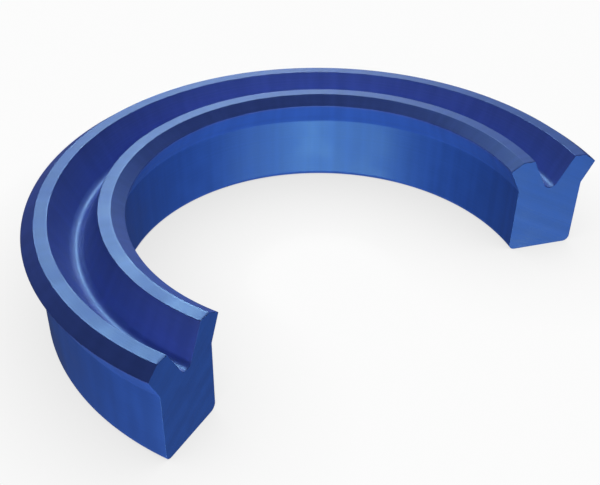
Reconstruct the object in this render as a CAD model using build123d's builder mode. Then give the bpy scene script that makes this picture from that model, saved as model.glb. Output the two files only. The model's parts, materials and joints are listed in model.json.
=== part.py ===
from build123d import *
import os

# A moulded U-cup seal for a hydraulic rod: two flared lips over a solid heel, with a groove
# between them that the pressure opens. A sector is cut out of the ring, so its section shows.
# Origin: on the ring's axis, in the plane of the heel's face. +Z points to the lips, and the
# missing sector faces -Y. Lengths are in millimetres and angles in degrees.

# What the seal runs between
rod_diameter = 55.0  # the inner lip wipes this
housing_diameter = 75.0  # floor of the housing's groove, which the outer lip presses on
heel_clearance = 0.2  # gap on the radius between each side of the heel and its neighbour

# Heel
heel_height = 10.0  # straight sides, from the heel's face up to the waist
heel_corner_radius = 0.9
waist_radius = 0.8  # where each side turns out into its lip

# Lips
lip_height = 4.5  # from the waist up to the lips' flat tops
lip_preload = 1.4  # how far a sealing edge stands past its neighbour's surface, on the radius
lip_edge_drop = 1.2  # sealing edge below the flat top
lip_bevel_width = 1.7  # from the flat top out to the sealing edge, on the radius
lip_top_width = 1.65

# Groove between the lips
groove_depth = 4.6
groove_root_radius = 1.1

# Sector cut out of the ring: 0 leaves the whole seal
missing_angle = 135.0

# The section's two halves are alike, so it is laid out from the radius half way between them
middle_radius = (rod_diameter + housing_diameter) / 4
gland_reach = middle_radius + (housing_diameter - rod_diameter) / 4
heel_reach = gland_reach - heel_clearance
edge_reach = gland_reach + lip_preload
top_reach = edge_reach - lip_bevel_width
groove_reach = top_reach - lip_top_width
seal_height = heel_height + lip_height
edge_height = seal_height - lip_edge_drop
root_height = seal_height - groove_depth

# The section is drawn on the first cut face, at one side of the missing sector
section_plane = Plane.XZ.rotated((0, 0, missing_angle / 2 - 90))

with BuildPart() as u_cup_seal:
    with BuildSketch(section_plane):
        with BuildLine():
            # Outer half, from the middle of the heel's face to the lip's corner at the groove
            outline = FilletPolyline(
                (middle_radius, 0),
                (heel_reach, 0),
                (heel_reach, heel_height),
                (edge_reach, edge_height),
                (top_reach, seal_height),
                (groove_reach, seal_height),
                radius=(heel_corner_radius, waist_radius, 0, 0),
            )
            # The groove's wall runs tangent into the round root
            root_circle = CenterArc(
                (middle_radius, root_height + groove_root_radius),
                groove_root_radius,
                start_angle=0,
                arc_size=360,
                mode=Mode.PRIVATE,
            )
            groove_wall = ConstrainedLines(
                root_circle, outline @ 1, selector=lambda lines: lines.sort_by(Axis.X)[-1]
            ).edge()
            RadiusArc(groove_wall @ 0, (middle_radius, root_height), groove_root_radius)
            mirror(about=Plane.YZ.offset(middle_radius))
        make_face()
    revolve(axis=Axis.Z, revolution_arc=360 - missing_angle)

u_cup_seal.part.label = "u_cup_seal"

os.makedirs("parts", exist_ok=True)
export_step(u_cup_seal.part, "parts/u_cup_seal.step")
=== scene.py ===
import json
import math

import bpy
from mathutils import Matrix, Vector


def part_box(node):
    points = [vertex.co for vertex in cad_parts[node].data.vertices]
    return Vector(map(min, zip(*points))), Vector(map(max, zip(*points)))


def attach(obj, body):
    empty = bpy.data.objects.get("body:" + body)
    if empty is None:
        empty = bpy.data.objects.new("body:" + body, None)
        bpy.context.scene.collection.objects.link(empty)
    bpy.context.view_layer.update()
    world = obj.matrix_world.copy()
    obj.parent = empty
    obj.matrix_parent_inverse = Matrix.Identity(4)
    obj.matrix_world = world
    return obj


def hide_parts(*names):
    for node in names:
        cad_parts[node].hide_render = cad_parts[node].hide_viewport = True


# A moulded U-cup seal, cut open. A node tree sweeps its section round the axis, and the finish
# follows the ring: turned mould lines along it, knife lines over the two cut faces.

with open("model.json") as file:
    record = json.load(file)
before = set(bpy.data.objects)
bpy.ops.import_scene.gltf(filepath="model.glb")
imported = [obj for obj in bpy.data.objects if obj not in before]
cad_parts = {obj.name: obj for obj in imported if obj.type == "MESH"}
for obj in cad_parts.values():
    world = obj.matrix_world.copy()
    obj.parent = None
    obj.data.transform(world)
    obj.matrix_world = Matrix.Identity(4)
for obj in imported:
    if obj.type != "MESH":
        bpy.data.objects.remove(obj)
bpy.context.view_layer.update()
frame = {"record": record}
sealNode = "u_cup_seal"
mm = 0.001


def onSphere(distance, azimuth, elevation):
    # azimuth 0 is in front, on -Y, and 90 is on +X
    turn, lift = math.radians(azimuth), math.radians(elevation)
    flat = math.cos(lift)
    return Vector((math.sin(turn) * flat, -math.cos(turn) * flat, math.sin(lift))) * distance


def lookAt(place, target, roll=0.0):
    facing = (target - place).to_track_quat("-Z", "Y").to_matrix().to_4x4()
    return Matrix.Translation(place) @ facing @ Matrix.Rotation(math.radians(roll), 4, "Z")


def addObject(name, data):
    made = bpy.data.objects.new(name, data)
    bpy.context.scene.collection.objects.link(made)
    return made


def asPlainMesh(source, name):
    # what the modifiers make, as a mesh of its own
    depsgraph = bpy.context.evaluated_depsgraph_get()
    mesh = bpy.data.meshes.new_from_object(source.evaluated_get(depsgraph), depsgraph=depsgraph)
    mesh.name = name
    return mesh


def opaque(colour):
    # red, green and blue with an alpha of 1, as colour sockets take them
    return (*colour, 1.0)


class Field:
    # a socket that can stand in a sum
    def __init__(self, tree, socket):
        self.tree, self.socket = tree, socket

    def math(self, operation, *others):
        return self.tree.math(operation, self, *others)

    def __add__(self, other):
        return self.tree.math("ADD", self, other)

    def __sub__(self, other):
        return self.tree.math("SUBTRACT", self, other)

    def __rsub__(self, other):
        return self.tree.math("SUBTRACT", other, self)

    def __mul__(self, other):
        return self.tree.math("MULTIPLY", self, other)

    def __truediv__(self, other):
        return self.tree.math("DIVIDE", self, other)

    def __rtruediv__(self, other):
        return self.tree.math("DIVIDE", other, self)

    __radd__, __rmul__ = __add__, __mul__

    def between(self, low, high, newLow=0.0, newHigh=1.0):
        # a soft step: newLow below low, newHigh above high
        settings = {"interpolation_type": "SMOOTHSTEP"}
        values = {"Value": self, "From Min": low, "From Max": high}
        values.update({"To Min": newLow, "To Max": newHigh})
        return self.tree.add("ShaderNodeMapRange", settings, values)


class NodeTree:
    # serves shapes and finishes alike
    def __init__(self, tree):
        self.tree = tree
        tree.nodes.clear()

    def add(self, kind, settings=None, values=None, output=0):
        node = self.tree.nodes.new(kind)
        for name, value in (settings or {}).items():
            setattr(node, name, value)
        for key, value in (values or {}).items():
            if isinstance(value, Field):
                self.tree.links.new(value.socket, node.inputs[key])
            else:
                node.inputs[key].default_value = value
        return Field(self, node.outputs[output]) if node.outputs else None

    def math(self, operation, *parts):
        return self.add("ShaderNodeMath", {"operation": operation}, dict(enumerate(parts)))

    def split(self, vector):
        # its x, y and z
        first = self.add("ShaderNodeSeparateXYZ", values={0: vector})
        return [Field(self, socket) for socket in first.socket.node.outputs]

    def attribute(self, name, kind):
        return self.add("GeometryNodeInputNamedAttribute", {"data_type": kind}, {"Name": name})

    def noise(self, dimensions, place, size, detail):
        where = "W" if dimensions == "1D" else "Vector"
        values = {where: place, "Scale": 1 / size, "Detail": detail}
        return self.add("ShaderNodeTexNoise", {"noise_dimensions": dimensions}, values)

    def blend(self, amount, first, second, way="MIX"):
        # a Mix node's colour sockets are its inputs 6 and 7 and its output 2
        settings = {"data_type": "RGBA", "blend_type": way}
        return self.add("ShaderNodeMix", settings, {0: amount, 6: first, 7: second}, output=2)


# The ring: sizes in millimetres. What the frame doesn't say is here.

seal = {
    "lipHeight": 4.5,  # from the waist up to the flat tops
    "edgeDrop": 1.2,  # sealing edge below the flat top
    "bevelWidth": 1.7,  # flat top out to the sealing edge
    "topWidth": 1.65,
    "grooveDepth": 4.6,
    "grooveRadius": 1.1,
    "waistRadius": 0.8,
    "heelRadius": 0.9,
    "lipEdgeRadius": 0.1,  # left by the mould on the lips' sharp edges
    "cornerSteps": {"heel": 8, "waist": 6, "lipEdge": 4, "groove": 14},
    "stepsRound": 320,
    "cutBevel": 0.04,  # round the two cut faces
    "cutBevelSteps": 2,
    "cutBevelAngle": 60.0,  # degrees: only edges that turn more than this get it
    "flatness": 80,  # up to 100: how far the large faces rule the shading of small ones
}

lowest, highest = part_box(sealNode)
mounts = {mount["name"]: mount for mount in frame["record"]["mounts"]}
middleRadius = mounts["heel_face"]["pos_m"][1] / mm
boreRadius = mounts["rod_bore"]["dims"]["r_mm"]
height = highest.z / mm
outerRadius = highest.x / mm
openHalf = math.asin(-lowest.y / highest.x)  # angle from the X axis down to each cut

topReach = outerRadius - middleRadius - seal["bevelWidth"]
lipEdges = {  # (out from the middle, up)
    "sealing": (outerRadius - middleRadius, height - seal["edgeDrop"]),
    "top": (topReach, height),
    "groove": (topReach - seal["topWidth"], height),
}


def sectionCorners():
    # (out from the middle, up, corner radius, steps in the corner), right half first
    heel = middleRadius - boreRadius
    steps = seal["cornerSteps"]
    sharp = seal["lipEdgeRadius"]
    half = [
        (heel, 0, seal["heelRadius"], steps["heel"]),
        (heel, height - seal["lipHeight"], seal["waistRadius"], steps["waist"]),
        *((out, up, sharp, steps["lipEdge"]) for out, up in lipEdges.values()),
    ]
    # the groove's two walls touch the circle of its root, and would meet below it
    groove = lipEdges["groove"][0]
    root = seal["grooveRadius"]
    rootUp = height - seal["grooveDepth"] + root
    reach = math.hypot(groove, height - rootUp)
    lean = math.atan2(groove, height - rootUp) - math.asin(root / reach)
    bottom = (0, rootUp - root / math.sin(lean), root, steps["groove"])
    return half + [bottom] + [(-out, *others) for out, *others in reversed(half)]


def sectionMesh(corners):
    # a closed outline whose points carry the radius and steps of their corners
    count = len(corners)
    mesh = bpy.data.meshes.new("section")
    points = [(out * mm, up * mm, 0) for out, up, _, _ in corners]
    mesh.from_pydata(points, [(i, (i + 1) % count) for i in range(count)], [])
    radii = mesh.attributes.new("cornerRadius", "FLOAT", "POINT")
    steps = mesh.attributes.new("cornerSteps", "INT", "POINT")
    for index, (_, _, radius, cornerSteps) in enumerate(corners):
        radii.data[index].value = radius * mm
        steps.data[index].value = cornerSteps
    return mesh


def sweepTree():
    # outline -> rounded corners -> a straight bar 1 m long -> bent round the Z axis
    group = bpy.data.node_groups.new("sweepRoundAxis", "GeometryNodeTree")
    tree = NodeTree(group)
    inputs = (
        ("Section", "NodeSocketGeometry"),
        ("Ring Radius", "NodeSocketFloat"),
        ("First Angle", "NodeSocketFloat"),
        ("Last Angle", "NodeSocketFloat"),
        ("Steps Round", "NodeSocketInt"),
        ("Moulded Finish", "NodeSocketMaterial"),
        ("Cut Finish", "NodeSocketMaterial"),
    )
    for name, kind in inputs:
        group.interface.new_socket(name, in_out="INPUT", socket_type=kind)
    group.interface.new_socket("Ring", in_out="OUTPUT", socket_type="NodeSocketGeometry")
    groupInput = group.nodes.new("NodeGroupInput")
    given = {name: Field(tree, groupInput.outputs[name]) for name, _ in inputs}

    outline = tree.add("GeometryNodeMeshToCurve", values={"Mesh": given["Section"]})
    corners = {
        "Curve": outline,
        "Count": tree.attribute("cornerSteps", "INT"),
        "Radius": tree.attribute("cornerRadius", "FLOAT"),
        "Limit Radius": True,
    }
    rounded = tree.add("GeometryNodeFilletCurve", {"mode": "POLY"}, corners)

    line = tree.add("GeometryNodeCurvePrimitiveLine", values={"End": (0, 0, 1)})
    rings = {"Curve": line, "Count": given["Steps Round"] + 1}
    path = tree.add("GeometryNodeResampleCurve", {"mode": "COUNT"}, rings)
    sweep = {"Curve": path, "Profile Curve": rounded, "Fill Caps": True}
    bar = tree.add("GeometryNodeCurveToMesh", values=sweep)

    # how far along the bar a point lies, from 0 to 1, is how far round the ring it goes
    across, up, along = tree.split(tree.add("GeometryNodeInputPosition"))
    angle = given["Last Angle"] + along * (given["First Angle"] - given["Last Angle"])
    out = given["Ring Radius"] + across
    parts = {0: out * angle.math("COSINE"), 1: out * angle.math("SINE"), 2: up}
    bent = tree.add("ShaderNodeCombineXYZ", values=parts)
    ring = tree.add("GeometryNodeSetPosition", values={"Geometry": bar, "Position": bent})

    whole = tree.add("GeometryNodeRealizeInstances", values={"Geometry": ring})
    finish = {"Geometry": whole, "Material": given["Moulded Finish"]}
    moulded = tree.add("GeometryNodeSetMaterial", values=finish)
    # only the two end caps have more than four corners
    isCut = tree.add("GeometryNodeInputMeshFaceNeighbors").math("GREATER_THAN", 4)
    finish = {"Geometry": moulded, "Selection": isCut, "Material": given["Cut Finish"]}
    cut = tree.add("GeometryNodeSetMaterial", values=finish)
    tree.add("NodeGroupOutput", values={"Ring": cut})
    return group


def makeRing(moulded, cut):
    source = addObject("sectionOutline", sectionMesh(sectionCorners()))
    modifier = source.modifiers.new("sweep", "NODES")
    modifier.node_group = sweepTree()
    chosen = {
        "Ring Radius": middleRadius * mm,
        "First Angle": -openHalf,
        "Last Angle": math.pi + openHalf,
        "Steps Round": seal["stepsRound"],
        "Moulded Finish": moulded,
        "Cut Finish": cut,
    }
    for item in modifier.node_group.interface.items_tree:
        if item.name in chosen:
            modifier[item.identifier] = chosen[item.name]
    ring = addObject("polyurethane_ring", asPlainMesh(source, "sweptRing"))
    bpy.data.objects.remove(source)

    ring.data.shade_smooth()
    cutEdge = ring.modifiers.new("cutEdge", "BEVEL")
    cutEdge.width = seal["cutBevel"] * mm
    cutEdge.segments = seal["cutBevelSteps"]
    cutEdge.limit_method = "ANGLE"
    cutEdge.angle_limit = math.radians(seal["cutBevelAngle"])
    flatFaces = ring.modifiers.new("flatFaces", "WEIGHTED_NORMAL")
    flatFaces.weight = seal["flatness"]
    ring.data = asPlainMesh(ring, "polyurethane_ring")
    ring.modifiers.clear()
    return ring


# Finishes: lengths in millimetres, and angles in degrees

gloss = {
    "specularLevel": 0.75,
    "tint": (0.25, 0.65, 1.0),  # of a reflection seen straight on
}
skin = {
    "colour": (0.023, 0.084, 0.42),
    "colourSpread": 0.16,  # from the darkest shade to the lightest
    "roughness": 0.42,
    "roughnessSpread": 0.1,
    "cloudSize": 4.0,
    "flowAngle": 3.0,  # how wide the marks are where the melt ran round the mould
    "lineWidth": 0.28,  # turned lines that the mould left
    "lineDepth": 0.007,
    "lineRise": 0.9,  # a step up counts as this much of a step out, so walls have lines too
    "lineWaver": 0.04,
    "grainSize": 0.14,
    "grainDepth": 0.0012,
    "edgeWidth": 0.25,  # burnished band beside the lips' edges
    "edgeGloss": 0.05,
    "violetShadeTint": (2.4, 1.1, 1.0),  # painted violet shade, laid over the lips and the groove
    "violetShadeSlope": 0.8,  # of the line below which the painted shade stops
    "violetShadeFade": (-0.3, 0.1),  # none this far below that line, full this far above it
}
cutSkin = {
    "colour": (0.024, 0.088, 0.42),
    "colourSpread": 0.14,
    "roughness": 0.46,
    "roughnessSpread": 0.14,
    "cloudSize": 2.2,
    "lineWidth": 0.22,  # strokes of the knife
    "lineDepth": 0.009,
    "bandWidth": 1.32,  # of lighter and darker strokes
    "strokeAngle": 62.0,
    "grainSize": 0.18,
    "grainDepth": 0.004,
}
shares = {
    "shade": (0.4, 0.35, 0.25),  # of the clouds, the broad marks and the lines
    "matt": (0.5, 0.3, 0.2),  # of the clouds, the lines and the grain
}
noiseSpan = (0.35, 0.65)  # most of a noise lies between these


def weighted(fields, weights):
    first, *others = (field * weight for field, weight in zip(fields, weights))
    return sum(others, first)


def polyurethane(name, finish, pattern):
    # pattern(tree, radius, up, turn) gives what the fine lines run across, the broad marks,
    # how burnished a place is, and how much painted violet shade lies on it
    material = bpy.data.materials.new(name)
    material.use_nodes = True
    tree = NodeTree(material.node_tree)
    place = tree.add("ShaderNodeTexCoord", output="Object")
    x, y, z = tree.split(place)
    radius = (x * x + y * y).math("SQRT") / mm
    across, broad, burnish, violetShade = pattern(tree, radius, z / mm, x.math("ARCTAN2", y))

    lines = tree.noise("1D", across, finish["lineWidth"], detail=2.0)
    grain = tree.noise("3D", place, finish["grainSize"] * mm, detail=1.0)
    clouds = tree.noise("3D", place, finish["cloudSize"] * mm, detail=3.0)

    shade = weighted((clouds, broad, lines), shares["shade"]).between(*noiseSpan)
    tone = finish["colourSpread"] / 2
    darker, lighter = ([part * (1 + step) for part in finish["colour"]] for step in (-tone, tone))
    colour = tree.blend(shade, opaque(darker), opaque(lighter))
    # multiplies in the violet tint where the mask lies: painted shade on the lips and in the
    # groove
    colour = tree.blend(violetShade, colour, opaque(skin["violetShadeTint"]), "MULTIPLY")
    coarse = finish["roughnessSpread"] / 2
    matt = weighted((clouds, lines, grain), shares["matt"]).between(*noiseSpan, -coarse, coarse)
    relief = lines * finish["lineDepth"] + grain * finish["grainDepth"]

    surface = {
        "Base Color": colour,
        "Roughness": matt + finish["roughness"] - burnish,
        "Normal": tree.add("ShaderNodeBump", values={"Height": relief, "Distance": mm}),
        "Specular IOR Level": gloss["specularLevel"],
        "Specular Tint": opaque(gloss["tint"]),
    }
    shader = tree.add("ShaderNodeBsdfPrincipled", values=surface)
    tree.add("ShaderNodeOutputMaterial", values={"Surface": shader})
    return material


def mouldMarks(tree, radius, up, turn):
    # turned lines with a slow waver, flow marks across them, burnished lip edges, and painted
    # violet shade on all that lies above a slope from each sealing edge down to the middle
    lines = radius + up * skin["lineRise"] + turn.math("SINE") * skin["lineWaver"]
    flow = tree.noise("1D", turn, math.radians(skin["flowAngle"]), detail=1.0)
    out = (radius - middleRadius).math("ABSOLUTE")
    gaps = []
    for edgeOut, edgeUp in lipEdges.values():
        sideways, upwards = out - edgeOut, up - edgeUp
        gaps.append((sideways * sideways + upwards * upwards).math("SQRT"))
    nearest = gaps[0].math("MINIMUM", gaps[1]).math("MINIMUM", gaps[2])
    burnish = nearest.between(0.0, skin["edgeWidth"], skin["edgeGloss"], 0.0)

    # the mask of the painted violet shade
    edgeOut, edgeUp = lipEdges["sealing"]
    rise = up - out * skin["violetShadeSlope"] - (edgeUp - edgeOut * skin["violetShadeSlope"])
    return lines, flow, burnish, rise.between(*skin["violetShadeFade"])


def knifeMarks(tree, radius, up, turn):
    # straight strokes in broad bands of tone, with no burnish and no painted violet shade
    lean = math.radians(cutSkin["strokeAngle"])
    strokes = radius * math.cos(lean) + up * math.sin(lean)
    bands = tree.noise("1D", strokes, cutSkin["bandWidth"], detail=1.0)
    return strokes, bands, 0.0, 0.0


mouldedSkin = polyurethane("mouldedPolyurethane", skin, mouldMarks)
knifeSkin = polyurethane("cutPolyurethane", cutSkin, knifeMarks)
print("finishes made")
ring = makeRing(mouldedSkin, knifeSkin)
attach(ring, "root")
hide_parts(sealNode)
print("ring:", len(ring.data.polygons), "faces")


# Studio: a pale floor, soft lamps and the camera, in metres, watts and degrees

studio = {
    "floorSide": 4.0,
    "floorGlow": 0.97,
    "shadowDepth": 0.3,  # the most glow that the floor loses close to the ring
    "shadowReach": 0.02,
    "backdrop": 0.97,
    "ambient": 0.1,
    "lampDistance": 0.5,
    "lampDiameter": 0.2,
}
white = (1.0, 1.0, 1.0)
cool = (0.78, 0.88, 1.0)
cooler = (0.6, 0.88, 1.0)
lamps = {  # azimuth, elevation, watts and colour
    "backKey": (155, 45, 1.55, cool),
    "backRim": (140, 16, 0.25, cool),
    "backSide": (120, 28, 0.1, cooler),
    "lowFront": (-30, -25, 1.4, white),
    "lowLeft": (-65, -36, 0.8, white),
    "lowRight": (5, -36, 0.4, white),
}


def floorFinish():
    # glows nearly white, with a painted contact shadow close to the ring
    material = bpy.data.materials.new("paleFloor")
    material.use_nodes = True
    tree = NodeTree(material.node_tree)
    reach = {"Distance": studio["shadowReach"]}
    # painted contact shadow: the glow drops where the ring hides the floor nearby
    openness = tree.add("ShaderNodeAmbientOcclusion", values=reach, output="AO")
    glow = openness * studio["shadowDepth"] + (studio["floorGlow"] - studio["shadowDepth"])
    shader = tree.add("ShaderNodeEmission", values={"Color": opaque(white), "Strength": glow})
    tree.add("ShaderNodeOutputMaterial", values={"Surface": shader})
    return material


def makeFloor():
    mesh = bpy.data.meshes.new("floor")
    half = studio["floorSide"] / 2
    corners = [(x * half, y * half, 0) for x, y in ((-1, -1), (1, -1), (1, 1), (-1, 1))]
    mesh.from_pydata(corners, [], [(0, 1, 2, 3)])
    mesh.materials.append(floorFinish())
    floor = addObject("floor", mesh)
    # only the camera sees it, so its glow adds no light to the ring
    floor.visible_shadow = False
    floor.visible_diffuse = False
    floor.visible_glossy = False
    return floor


def makeLamps():
    for name, (azimuth, elevation, watts, colour) in lamps.items():
        lamp = bpy.data.lights.new(name, "AREA")
        lamp.shape = "DISK"
        lamp.size = studio["lampDiameter"]
        lamp.energy = watts
        lamp.color = colour
        # no shadows, so the light is as even as in a tent, down to the groove's root
        lamp.use_shadow = False
        lamp.cycles.use_multiple_importance_sampling = False
        stand = addObject(name, lamp)
        stand.matrix_world = lookAt(onSphere(studio["lampDistance"], azimuth, elevation), Vector())
        stand.visible_camera = False


def makeBackdrop():
    # pale to the camera, with only a little light for the ring
    world = bpy.data.worlds.new("studio")
    world.use_nodes = True
    tree = NodeTree(world.node_tree)
    seen = tree.add("ShaderNodeLightPath", output="Is Camera Ray")
    strength = seen * (studio["backdrop"] - studio["ambient"]) + studio["ambient"]
    paper = tree.add("ShaderNodeBackground", values={"Color": opaque(white), "Strength": strength})
    tree.add("ShaderNodeOutputWorld", values={"Surface": paper})
    bpy.context.scene.world = world


makeFloor()
makeLamps()
makeBackdrop()

view = {
    "distance": 0.1274,  # from the ring's axis, at the floor
    "azimuth": -41.0,
    "elevation": 38.03,
    "aim": (-0.0037, 0.0013, 0.0073),
    "roll": 0.87,
    "lens": 55.24,  # millimetres, as is the sensor's width
    "sensorWidth": 36.0,
    "nearest": 0.005,
}
camera = bpy.data.cameras.new("camera")
camera.lens = view["lens"]
camera.sensor_width = view["sensorWidth"]
camera.clip_start = view["nearest"]
tripod = addObject("camera", camera)
place = onSphere(view["distance"], view["azimuth"], view["elevation"])
tripod.matrix_world = lookAt(place, Vector(view["aim"]), view["roll"])
bpy.context.scene.camera = tripod
bpy.context.scene.view_settings.view_transform = "Standard"
bpy.context.scene.cycles.use_light_tree = False  # so the weak lamps leave fewer specks
print("camera and lights placed")
